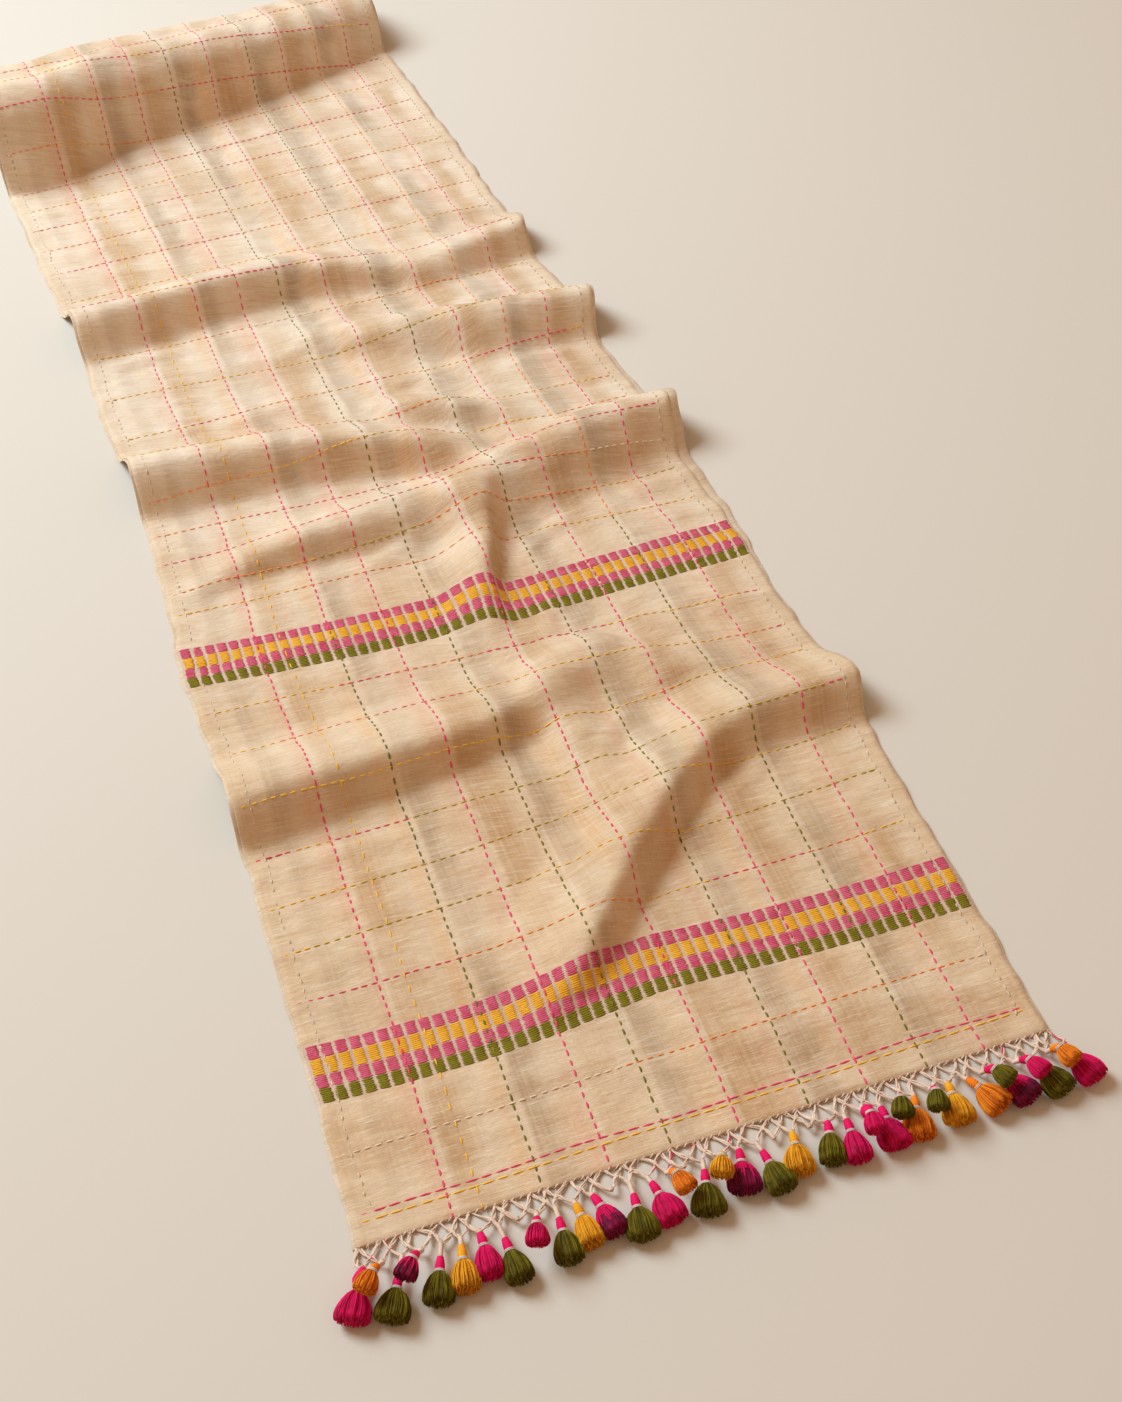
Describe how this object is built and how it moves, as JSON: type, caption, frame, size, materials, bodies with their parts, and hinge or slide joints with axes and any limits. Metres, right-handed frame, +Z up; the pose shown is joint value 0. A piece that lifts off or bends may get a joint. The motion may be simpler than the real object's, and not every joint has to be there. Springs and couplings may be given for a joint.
{
  "type": "cotton saree",
  "caption": "Cotton saree folded lengthwise and laid out from a loose roll, with soft folds, woven bands and a tasselled end.",
  "frame": {"origin": "on the floor, under the middle of the whole piece's box", "axes": "+Z up, +Y along the strip from the fringed end to the roll, +X to the right seen from the fringed end"},
  "size_m": [0.6418, 1.9938, 0.1189],
  "materials": {
    "handloom_cotton": "slubby handloom cotton with running stitches and woven bands",
    "handloom_cotton_under": "slubby handloom cotton",
    "handloom_cotton_rolled": "slubby handloom cotton, rolled",
    "warp_ends": "twisted cotton warp ends, knotted",
    "thread_magenta": "soft cotton thread",
    "thread_plum": "soft cotton thread",
    "thread_orange": "soft cotton thread",
    "thread_yellow": "soft cotton thread",
    "thread_olive": "soft cotton thread"
  },
  "bodies": {
    "root": {"upper_layer": "handloom_cotton", "under_layer": "handloom_cotton_under", "roll_turns": "handloom_cotton_rolled", "fringe_net": "warp_ends", "tassel_01": "thread_magenta", "tassel_02": "thread_orange", "tassel_03": "thread_olive", "tassel_04": "thread_plum", "tassel_05": "thread_olive", "tassel_06": "thread_yellow", "tassel_07": "thread_magenta", "tassel_08": "thread_olive", "tassel_09": "thread_magenta", "tassel_10": "thread_olive", "tassel_11": "thread_yellow", "tassel_12": "thread_plum", "tassel_13": "thread_olive", "tassel_14": "thread_magenta", "tassel_15": "thread_orange", "tassel_16": "thread_olive", "tassel_17": "thread_yellow", "tassel_18": "thread_plum", "tassel_19": "thread_olive", "tassel_20": "thread_yellow", "tassel_21": "thread_olive", "tassel_22": "thread_magenta", "tassel_23": "thread_magenta", "tassel_24": "thread_magenta", "tassel_25": "thread_olive", "tassel_26": "thread_orange", "tassel_27": "thread_olive", "tassel_28": "thread_yellow", "tassel_29": "thread_orange", "tassel_30": "thread_olive", "tassel_31": "thread_plum", "tassel_32": "thread_magenta", "tassel_33": "thread_olive", "tassel_34": "thread_orange", "tassel_35": "thread_magenta"}
  },
  "joints": []
}
